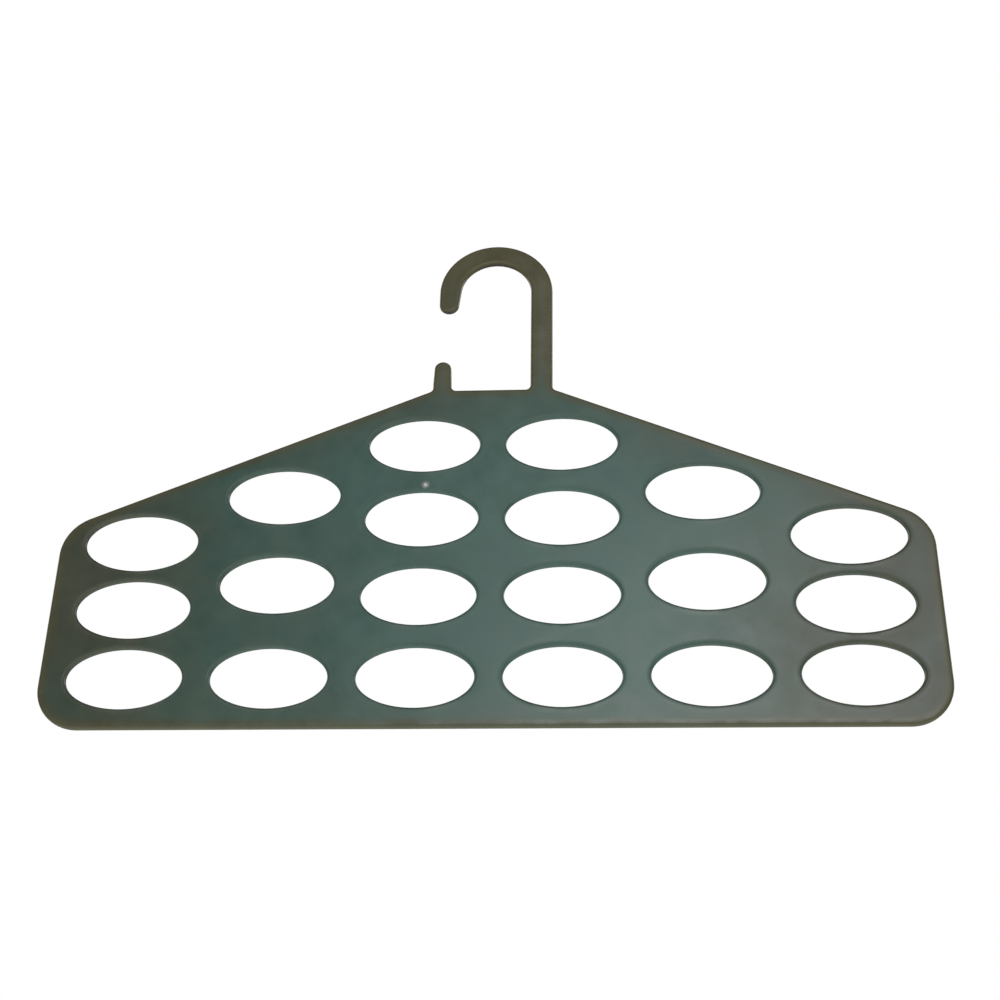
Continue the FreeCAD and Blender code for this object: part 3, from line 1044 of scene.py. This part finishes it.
@dataclass(frozen=True)
class LoopPlate:
    """The pierced plate with the short roots of the hook and of the prong.

    Attributes:
        moulding: The shared sizes.
        half_width: Half the plate's width.
        bottom: Height of its bottom edge.
        prong_sides: X of the prong's outer and inner side.
        side_height: Height of its two upright sides.
        corner_radius: Radius of its four corners.
        column_web: Web between two columns of loops.
        bottom_web: Web under the lowest loops.
        face_steps: Steps across the face from a cell's border to its loop.
        face_crowding: Power by which those steps crowd towards the loop.
        edge_samples: Points along a loop from which distances are measured.
        rub_reach: How far from a loop's lower rim cloth has rubbed.
        rub_power: How closely the rubbing keeps to the lowest part of that rim.
    """

    moulding: Moulding
    half_width: float
    bottom: float
    prong_sides: Pair
    side_height: float = 109.3 * MM
    corner_radius: float = 22.2 * MM
    column_web: float = 13.8 * MM
    bottom_web: float = 10.2 * MM
    face_steps: int = 4
    face_crowding: float = 1.4
    edge_samples: int = 96
    rub_reach: float = 1.5 * MM
    rub_power: float = 2.0

    @staticmethod
    def read(moulding: Moulding) -> "LoopPlate":
        """Read the plate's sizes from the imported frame.

        Args:
            moulding: The shared sizes.

        Returns:
            The plate.
        """
        low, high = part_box("loop_plate")
        prong_low, prong_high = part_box("keeper_prong")
        sides = (prong_low[Axis.X], prong_high[Axis.X])
        return LoopPlate(moulding, high[Axis.X], low[Axis.Z], sides)

    def columns(self) -> list[list[Loop]]:
        """Read the loops from the record's openings.

        Returns:
            The loops, column by column from the left, and from the bottom in each.
        """
        boxes = [
            np.array(opening["box_m"]).mean(axis=0)
            for opening in frame["record"]["physics"]["openings"]
            if "_loop_" in opening["name"]
        ]
        places = np.array([complex(box[Axis.X], box[Axis.Z]) for box in boxes])
        column_x = np.unique(np.round(places.real / WELD)) * WELD
        half_width = (column_x[1] - column_x[0] - self.column_web) / 2
        found = []
        for x in column_x:
            heights = np.sort(places.imag[np.abs(places.real - x) < self.column_web])
            half_height = heights[0] - self.bottom - self.bottom_web
            found.append([Loop(complex(x, z), half_width, half_height) for z in heights])
        return found

    @staticmethod
    def dividing_lines(columns: list[list[Loop]]) -> tuple[Array, list[Array]]:
        """Find the lines halfway between neighbouring loops.

        Args:
            columns: The loops, column by column.

        Returns:
            X of the lines between columns, and the heights of the lines between the rows of each column.
        """
        pitch = (columns[1][0].centre - columns[0][0].centre).real
        column_x = pitch * np.arange(-len(columns) // 2 + 1, len(columns) // 2)
        heights = [np.array([loop.centre.imag for loop in column]) for column in columns]
        return column_x, [(rows[:-1] + rows[1:]) / 2 for rows in heights]

    def edge_tracks(self, column_x: Array, side_rows: Array) -> tuple[Track, Track]:
        """Follow the edge of the front face, the plate's outline moved in by the rim's radius.

        Args:
            column_x: X of the lines between columns.
            side_rows: Heights of the lines between the rows of the outermost columns.

        Returns:
            The long way round from the hook's root to the prong's, and the short way back.
        """
        m = self.moulding
        inner = m.rim.radius
        shoulder = self.bottom + self.side_height
        prong_outer, prong_inner = self.prong_sides
        long_way = np.array([
            complex(m.outer, m.joint), complex(m.outer, m.top), complex(self.half_width, shoulder),
            complex(self.half_width, self.bottom), complex(-self.half_width, self.bottom),
            complex(-self.half_width, shoulder), complex(prong_outer, m.top), complex(prong_outer, m.joint),
        ])
        short_way = np.array([
            complex(prong_inner, m.joint), complex(prong_inner, m.top),
            complex(m.seat, m.top), complex(m.seat, m.joint),
        ])
        root = m.root_radius + inner
        corner = self.corner_radius - inner
        tracks = []
        for way, radii in ((long_way, [0, root, corner, corner, corner, corner, root, 0]),
                           (short_way, [0, root, root, 0])):
            corners, rounds = self.with_stops(inset(way, inner), np.array(radii), column_x, side_rows)
            counts = np.ceil(np.abs(np.diff(corners)) / m.step).astype(int)
            counts[[0, -1]] = m.rise_steps
            tracks.append(Track.rounded(corners, rounds, counts, m.arc_steps))
        return tracks[0], tracks[1]

    @staticmethod
    def with_stops(corners: Array, radii: Array, column_x: Array, side_rows: Array) -> tuple[Array, Array]:
        """Add a stop without a round wherever a line between columns or rows crosses a side.

        Args:
            corners: Corners of the path.
            radii: Radius at each corner.
            column_x: X of the lines between columns.
            side_rows: Heights of the lines between the rows of the outermost columns.

        Returns:
            Corners and stops in order, and their radii.
        """
        points, rounds = [corners[:1]], [radii[:1]]
        for start, stop, radius in zip(corners[:-1], corners[1:], radii[1:]):
            side = stop - start
            upright = abs(side.real) < WELD
            share = (side_rows - start.imag) / side.imag if upright else (column_x - start.real) / side.real
            share = np.sort(share[(share > 0) & (share < 1)])
            points.append(np.append(start + side * share, stop))
            rounds.append(np.append(np.zeros(len(share)), radius))
        return np.concatenate(points), np.concatenate(rounds)

    def inner_lines(self, border: Array, column_x: Array, row_lines: list[Array]) -> list[Array]:
        """Divide the lines between loops into steps.

        Args:
            border: Points of the face's outer edge.
            column_x: X of the lines between columns.
            row_lines: Heights of the lines between the rows of each column.

        Returns:
            Points along each line.
        """
        step = self.moulding.step
        reach = self.half_width - self.moulding.rim.radius
        limits = np.concatenate([[-reach], column_x, [reach]])
        found = []
        for x, left, right in zip(column_x, row_lines[:-1], row_lines[1:]):
            ends = border.imag[np.abs(border.real - x) < WELD]
            stops = np.concatenate([left, right, [ends.min(), ends.max()]])
            found.append(x + 1j * subdivide(np.unique(np.round(stops, STOP_DECIMALS)), step))
        for lines, low, high in zip(row_lines, limits[:-1], limits[1:]):
            across = subdivide(np.array([low, high]), step)
            found += [across + 1j * z for z in lines]
        return found

    def add_ring(self, surface: Surface, loop: Loop, border: Array, outline: Array, edges: Array) -> None:
        """Add the ring of one loop: face, rim and face, on spokes that run to every point of its border.

        Cloth has rubbed it by a power of the sine below the loop's middle, dying out away from the rim.

        Args:
            surface: The plate's surface.
            loop: The loop.
            border: Points of the cell's border, in any order.
            outline: Points along the plate's outline.
            edges: Points along all free edges.
        """
        m = self.moulding
        angle = loop.bearing(border)
        order = np.argsort(angle)
        apart = np.abs(np.diff(border[order], prepend=border[order][-1])) > WELD
        border, angle = border[order][apart], angle[order][apart]
        hole = loop.wall(angle)
        face_edge = m.rim.face_edge(hole)
        share = np.linspace(1, 0, self.face_steps + 1)[:-1] ** self.face_crowding
        face = between(face_edge.points, border, share)
        rim_points, rim_normals = m.rim.sweep(face_edge)
        front, back = (in_plane(face, side * m.thickness / 2) for side in (-1, 1))
        backward = np.broadcast_to(np.array([0.0, 1.0, 0.0]), front.shape)
        points = np.concatenate([front, rim_points, back[:, ::-1]], axis=1)
        normals = np.concatenate([-backward, rim_normals, backward], axis=1)
        wall = np.zeros(rim_points.shape[:2])
        away, far = nearest(face, edges), nearest(face, outline)
        far_wall = wall + nearest(hole.points, outline)[:, None]
        rim = np.concatenate([away, wall, away[:, ::-1]], axis=1)
        far = np.concatenate([far, far_wall, far[:, ::-1]], axis=1)
        lower = np.clip(-np.sin(angle), 0, 1)[:, None] ** self.rub_power
        wear = lower * np.exp(-rim / self.rub_reach)
        surface.add(points, normals, ring=True, rim=rim, outline=far, wear=wear)

    def build(self) -> bpy.types.Object:
        """Build the plate: a ring of surface round every loop, the outer rim and the two roots.

        Each loop has a cell of the plate whose border follows the lines halfway to its neighbours, or
        the outer edge. Its ring runs from the border straight to the loop's rim, through the rim's
        section and back over the other face to the border.

        Returns:
            The plate.
        """
        m, root = self.moulding, self.moulding.root_steps
        surface = Surface()
        columns = self.columns()
        column_x, row_lines = self.dividing_lines(columns)
        long_way, short_way = self.edge_tracks(column_x, row_lines[0])
        outline = np.concatenate([long_way.points, short_way.points])
        angle = np.linspace(0, CIRCLE, self.edge_samples, endpoint=False)
        loop_edges = [m.rim.face_edge(loop.wall(angle)).points for column in columns for loop in column]
        edges = np.concatenate([outline, *loop_edges])

        hook_root = between(short_way.points[-root - 1:], long_way.points[root::-1], m.across)
        prong_root = between(long_way.points[-root - 1:], short_way.points[root::-1], m.across)
        sides = [way.points[root:-root] for way in (long_way, short_way)]
        border = np.concatenate([*sides, hook_root[0], prong_root[0]])
        border = np.concatenate([border, *self.inner_lines(border, column_x, row_lines)])
        limits = np.concatenate([[-np.inf], column_x, [np.inf]])
        for column, lines, low_x, high_x in zip(columns, row_lines, limits[:-1], limits[1:]):
            levels = np.concatenate([[-np.inf], lines, [np.inf]])
            for loop, low_z, high_z in zip(column, levels[:-1], levels[1:]):
                inside = within(border.real, low_x, high_x) & within(border.imag, low_z, high_z)
                self.add_ring(surface, loop, border[inside], outline, edges)

        rims = [m.rim.sweep(way) for way in (long_way, short_way)]
        for points, normals in rims:
            surface.add(points, normals)
        for grid in (hook_root, prong_root):
            add_faces(surface, grid, m.thickness, outline)
        long_rim, short_rim = (points for points, _ in rims)
        add_cap(surface, m, short_rim[-1], long_rim[0], 1.0)
        add_cap(surface, m, long_rim[-1], short_rim[0], 1.0)
        return surface.make("loop_plate_skin")


@dataclass(frozen=True)
class Outline:
    """Outline of a limb, from foot to foot.

    Attributes:
        corners: Its corners, the two feet among them.
        radii: Radius at each corner, below zero where the material lies outside the round.
        counts: Steps along each straight side.
    """

    corners: Array
    radii: Array
    counts: Array


@dataclass(frozen=True)
class Limb(ABC):
    """A flat limb that stands on a root of the plate: its outline runs up one side, round its tip and back.

    Attributes:
        name: Name of the piece.
        moulding: The shared sizes.
        painted_shade_power: How closely the painted shade keeps to the walls that look straight down.
    """

    name: ClassVar[str]

    moulding: Moulding
    painted_shade_power: float = 4.0

    @abstractmethod
    def outline(self) -> Outline:
        """Lay out the limb."""

    def build(self) -> bpy.types.Object:
        """Build the limb: ruled faces from side to side, the rim along the outline and a cap at the joint.

        At its two feet the rim points level to either side, so that it meets the root's rim in the joint.
        Shade is painted on the walls that look down, by a power of their normals' downward part.

        Returns:
            The limb.
        """
        m, outline = self.moulding, self.outline()
        inner = m.rim.radius
        feet, level = [0, -1], np.array([-1.0, 1.0])
        radii = np.where(outline.radii == 0, 0.0, np.abs(outline.radii - inner))
        corners = inset(outline.corners, inner)
        corners[feet] = outline.corners[feet] - inner * level
        track = Track.rounded(corners, radii, outline.counts, m.arc_steps)
        track.outward[feet] = level
        half = len(track.points) // 2 + 1
        first, second = track.points[:half], track.points[:half - 2:-1]
        surface = Surface()
        add_faces(surface, between(first, second, m.across), m.thickness, track.points)
        points, normals = m.rim.sweep(track)
        downward = np.clip(-normals[..., Axis.Z], 0, 1)
        # Painted shade: darker the more a wall of the rim looks down.
        surface.add(points, normals, wear=-downward**self.painted_shade_power)
        add_cap(surface, m, points[0], points[-1], -1.0)
        return surface.make(self.name)


@dataclass(frozen=True)
class RodHook(Limb):
    """The rod hook: stem, half-round bend about the seat and tapered tip with a full round.

    Attributes:
        reach: How far the tip's round lies below the seat's centre.
        taper: Lean of the tip's inner side, in radians.
    """

    name: ClassVar[str] = "rod_hook_skin"

    reach: float = 7.2 * MM
    taper: float = math.radians(7.0)

    def inner_side(self, z: float) -> float:
        """X of the tip's inner side at a height: it leans by the taper and touches the seat's circle."""
        return -(self.moulding.seat - z * math.sin(self.taper)) / math.cos(self.taper)

    def outline(self) -> Outline:
        """Lay out the hook from the stem's inner foot to its outer foot.

        The round that ends the tip touches its inner side and its outer side.

        Returns:
            The outline.
        """
        m = self.moulding
        room = m.outer * math.cos(self.taper) - m.seat - self.reach * math.sin(self.taper)
        tip = room / (1 + math.cos(self.taper))
        lowest = -self.reach - tip
        corners = np.array([
            complex(m.seat, m.joint), complex(m.seat, m.seat), complex(self.inner_side(m.seat), m.seat),
            complex(self.inner_side(lowest), lowest), complex(-m.outer, lowest), complex(-m.outer, m.outer),
            complex(m.outer, m.outer), complex(m.outer, m.joint),
        ])
        radii = np.array([0, -m.seat, -m.seat, tip, tip, m.outer, m.outer, 0])
        stem = math.ceil(-m.joint / m.step)
        tip_steps = math.ceil(self.reach / m.step)
        return Outline(corners, radii, np.array([stem, 0, tip_steps, 0, tip_steps, 0, stem]))


@dataclass(frozen=True)
class KeeperProng(Limb):
    """The keeper prong: two leaning sides and a full round on top.

    Attributes:
        narrowing: How much less than half the foot's width the top's round is.
    """

    name: ClassVar[str] = "keeper_prong_skin"

    narrowing: float = 0.4 * MM

    def outline(self) -> Outline:
        """Lay out the prong from its outer foot to its inner foot, each side tangent to the top's round.

        Returns:
            The outline.
        """
        m = self.moulding
        low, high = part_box("keeper_prong")
        middle = (low[Axis.X] + high[Axis.X]) / 2
        half = (high[Axis.X] - low[Axis.X]) / 2
        tip = half - self.narrowing
        foot = complex(half, m.joint)
        centre = complex(0, high[Axis.Z] - tip)
        lean = np.angle(foot - centre) + math.acos(tip / abs(foot - centre))
        side = centre + tip * np.exp(1j * lean) - foot
        shoulder = foot + side * (high[Axis.Z] - m.joint) / side.imag
        corners = middle + np.array([-foot.conjugate(), -shoulder.conjugate(), shoulder, foot])
        steps = math.ceil(abs(side) / m.step)
        return Outline(corners, np.array([0, tip, tip, 0]), np.array([steps, 0, steps]))


@dataclass(frozen=True)
class GateMark:
    """The trimmed stub where the plastic ran in: a low dome with a torn pit.

    Attributes:
        centre: Its middle in the hanger's plane.
        face: Y of the face that it stands on.
        radius: Its radius.
        height: Its height.
        pit: Depth of the torn pit.
        pit_share: Middle radius of the pit as a share of the mark's.
        pit_waves: Share, number of lobes and start of each wave in the pit's edge.
        tear_share: How much the pit's floor rises and falls.
        tear_lobes: Number of lobes in that floor.
        tear_twist: How far the lobes turn from the middle to the edge, in radians.
        sink: How far its base is sunk into the face.
        sectors: Steps round it.
        rings: Steps from its middle to its edge.
    """

    centre: complex
    face: float
    radius: float = 1.1 * MM
    height: float = 0.5 * MM
    pit: float = 0.22 * MM
    pit_share: float = 0.55
    pit_waves: tuple[tuple[float, int, float], ...] = ((0.10, 2, 0.4), (0.07, 5, 0.0))
    tear_share: float = 0.7
    tear_lobes: int = 3
    tear_twist: float = 6.0
    sink: float = 0.1 * MM
    sectors: int = 40
    rings: int = 14

    @staticmethod
    def read(plate: LoopPlate) -> "GateMark":
        """Place the mark over the second loop from the top of the column left of the middle.

        Args:
            plate: The plate that it stands on.

        Returns:
            The mark.
        """
        shift, margin = 1.5 * MM, 3.2 * MM
        columns = plate.columns()
        loop = columns[len(columns) // 2 - 1][-2]
        centre = loop.centre + shift + 1j * (loop.half_height + margin)
        return GateMark(centre, -plate.moulding.thickness / 2)

    @property
    def place(self) -> Place:
        """Its middle in space."""
        return self.centre.real, self.face, self.centre.imag

    def build(self) -> bpy.types.Object:
        """Build the mark: a dome, less a pit whose edge wanders, on a short wall with a flat base.

        The dome's height goes with the root of one minus the fourth power of the share of the radius. The
        pit's depth falls off with the square of that share over the pit's own.

        Returns:
            The mark.
        """
        angle = np.linspace(0, CIRCLE, self.sectors, endpoint=False)[:, None]
        share = np.linspace(0, 1, self.rings + 1)
        wander = self.pit_share + sum(
            part * np.sin(lobes * angle + start) for part, lobes, start in self.pit_waves
        )
        dome = self.height * np.sqrt(1 - share**4)
        ragged = 1 + self.tear_share * share * np.sin(self.tear_lobes * angle + self.tear_twist * share)
        torn = self.pit * np.clip(1 - (share / wander) ** 2, 0, None) * ragged
        base = np.full((self.sectors, 2), self.face + self.sink)
        depth = np.concatenate([self.face - dome + torn, base], axis=1)
        share = np.append(share, [1.0, 0.0])
        points = in_plane(self.centre + self.radius * share * np.exp(1j * angle), depth)
        facing = np.where(np.arange(len(share)) > self.rings, 1.0, -1.0)
        normals = in_plane(np.zeros(depth.shape), facing)
        surface = Surface()
        surface.add(points, normals, ring=True, rim=self.radius * (1 - share))
        piece = surface.make("gate_mark")
        piece.data.normals_split_custom_set_from_vertices([(0.0, 0.0, 0.0)] * len(piece.data.vertices))
        return piece


@dataclass(frozen=True)
class Softbox:
    """A rectangular soft light that looks at a point.

    Attributes:
        name: Name of the light.
        bearing: Degrees to the right of the front.
        rise: Degrees above the horizon.
        distance: Distance from the target.
        size: Width and height.
        power: Power in watts.
        colour: Colour of its light.
    """

    name: str
    bearing: float
    rise: float
    distance: float
    size: Pair
    power: float
    colour: tuple[float, float, float] = (1.0, 1.0, 1.0)

    def build(self, target: Array) -> None:
        """Hang the light and turn it to the target.

        Args:
            target: Point that the light looks at.
        """
        data = bpy.data.lights.new(self.name, "AREA")
        data.shape = "RECTANGLE"
        data.size, data.size_y = self.size
        data.energy = self.power
        data.color = self.colour
        light = bpy.data.objects.new(self.name, data)
        light.visible_camera = False
        turn, lift = math.radians(self.bearing), math.radians(self.rise)
        light.location = target + self.distance * np.array([
            math.sin(turn) * math.cos(lift), -math.cos(turn) * math.cos(lift), math.sin(lift),
        ])
        light.rotation_euler = (math.pi / 2 - lift, 0.0, turn)
        bpy.context.scene.collection.objects.link(light)


@dataclass(frozen=True)
class Stage:
    """The plain pale floor, the white surroundings and the soft lights.

    Attributes:
        floor_height: Height of the floor.
        floor_radius: Radius of the floor.
        floor_sectors: Steps round the floor.
        floor_rings: Steps from its middle to its edge.
        floor_colour: Colour of the floor.
        floor_shade: How dark its unevenness is beside that colour.
        floor_clouds: Pattern of that unevenness.
        floor_roughness: Roughness of its paint.
        floor_glow: How brightly the floor glows, like a light table.
        fade: Where the floor fades out, by the distance from the middle.
        surround: Light that the surroundings throw on the object.
        white: Colour of the surroundings to look at.
        target: Point that the lights look at.
        lights: The lights.
    """

    floor_height: float = -1.1
    floor_radius: float = 6.0
    floor_sectors: int = 64
    floor_rings: int = 8
    floor_colour: Colour = (0.80, 0.80, 0.78, 1.0)
    floor_shade: float = 0.97
    floor_clouds: Cloud = Cloud(3.0)
    floor_roughness: float = 0.8
    floor_glow: float = 0.54
    fade: Zone = Zone(1.8, 5.7)
    surround: Colour = (0.06, 0.06, 0.06, 1.0)
    white: Colour = (1.0, 1.0, 1.0, 1.0)
    target: Place = (0.0, 0.0, -0.12)
    lights: tuple[Softbox, ...] = (
        Softbox("key_softbox", 9.0, 14.5, 2.2, (1.0, 0.9), 14.0),
        Softbox("back_right_softbox", 122.0, 30.0, 2.4, (1.4, 1.2), 20.0),
        Softbox("back_left_softbox", -122.0, 30.0, 2.4, (1.4, 1.2), 20.0),
    )

    def build(self) -> None:
        """Build the floor, a flat disc on a polar grid, then the surroundings and the lights."""
        angle = np.linspace(0, CIRCLE, self.floor_sectors, endpoint=False)[:, None]
        radius = self.floor_radius * np.linspace(0, 1, self.floor_rings + 1)
        flat = radius * np.exp(1j * angle)
        points = np.stack([flat.real, flat.imag, np.full(flat.shape, self.floor_height)], axis=-1)
        surface = Surface()
        surface.add(points, np.array([0.0, 0.0, 1.0]), ring=True)
        floor = surface.make("floor")
        floor.data.materials.append(self.floor_material())
        for light in self.lights:
            light.build(np.array(self.target))
        self.surroundings()

    def floor_material(self) -> bpy.types.Material:
        """Make pale matt paint with a faint unevenness, fading into the white surroundings far out.

        Returns:
            The material.
        """
        made, net = new_material("pale_floor")
        place = net.place()
        shade = tuple(self.floor_shade * part for part in self.floor_colour[:3]) + (1.0,)
        base = net.blend(self.floor_clouds.over(place), self.floor_colour, shade)
        paint = net.node("ShaderNodeBsdfPrincipled", {}, {
            "Base Color": base,
            "Roughness": self.floor_roughness,
            "Emission Color": base,
            "Emission Strength": self.floor_glow,
        })
        clear = net.node("ShaderNodeBsdfTransparent")
        away = net.node("ShaderNodeVectorMath", {"operation": "LENGTH"}, {0: place}, "Value")
        shader = net.node("ShaderNodeMixShader", {}, {0: self.fade.of(away), 1: paint, 2: clear})
        net.node("ShaderNodeOutputMaterial", {}, {"Surface": shader})
        return made

    def surroundings(self) -> None:
        """White to look at, and a dimmer grey as light, so that the moulding keeps its dark edges."""
        world = bpy.data.worlds.new("white_surroundings")
        world.use_nodes = True
        bpy.context.scene.world = world
        net = NodeNet(world.node_tree)
        looked_at = net.node("ShaderNodeLightPath", output="Is Camera Ray")
        colour = net.blend(looked_at, self.surround, self.white)
        background = net.node("ShaderNodeBackground", {}, {"Color": colour, "Strength": 1.0})
        net.node("ShaderNodeOutputWorld", {}, {"Surface": background})


@dataclass(frozen=True)
class View:
    """The photograph's point of view, in front of the hanger and below it.

    Attributes:
        place: Place of the camera.
        tilt: Degrees from straight down to the line of sight.
        roll: Degrees that the camera leans.
        turn: Degrees that it is turned to the left.
        lens: Focal length for a sensor of the given width, in millimetres.
        sensor: Width of the sensor, in millimetres.
        depth: Nearest and farthest distance that it sees.
    """

    place: Place = (0.0505, -0.7091, -0.5078)
    tilt: float = 118.02
    roll: float = -0.90
    turn: float = 3.265
    lens: float = 56.21
    sensor: float = 36.0
    depth: Pair = (0.05, 50.0)

    def build(self) -> None:
        """Set up the camera and make it the scene's own."""
        data = bpy.data.cameras.new("photo_view")
        data.lens = self.lens
        data.sensor_width = self.sensor
        data.clip_start, data.clip_end = self.depth
        camera = bpy.data.objects.new("photo_view", data)
        camera.location = self.place
        camera.rotation_euler = [math.radians(angle) for angle in (self.tilt, self.roll, self.turn)]
        bpy.context.scene.collection.objects.link(camera)
        bpy.context.scene.camera = camera
        bpy.context.scene.view_settings.view_transform = "Standard"


def dress(piece: bpy.types.Object, material: bpy.types.Material, *nodes: str) -> None:
    """Give a piece its finish and its body, and let it stand for its nodes.

    Args:
        piece: The piece.
        material: Its finish.
        nodes: The nodes that it stands for.
    """
    piece.data.materials.append(material)
    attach(piece, "root")
    if nodes:
        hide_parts(*nodes)
    log.info("%s: %d points, %d faces", piece.name, len(piece.data.vertices), len(piece.data.polygons))


def main() -> None:
    """Build the hanger piece by piece, then its stage and its camera."""
    logging.basicConfig(level=logging.INFO, format="%(message)s")
    moulding = Moulding.read()
    plate = LoopPlate.read(moulding)
    gate = GateMark.read(plate)
    plastic = SatinPlastic(gate.place).material()
    dress(plate.build(), plastic, "loop_plate")
    dress(RodHook(moulding).build(), plastic, "rod_hook")
    dress(KeeperProng(moulding).build(), plastic, "keeper_prong")
    dress(gate.build(), PalePlastic().material())
    Stage().build()
    View().build()


if __name__ == "__main__":
    main()
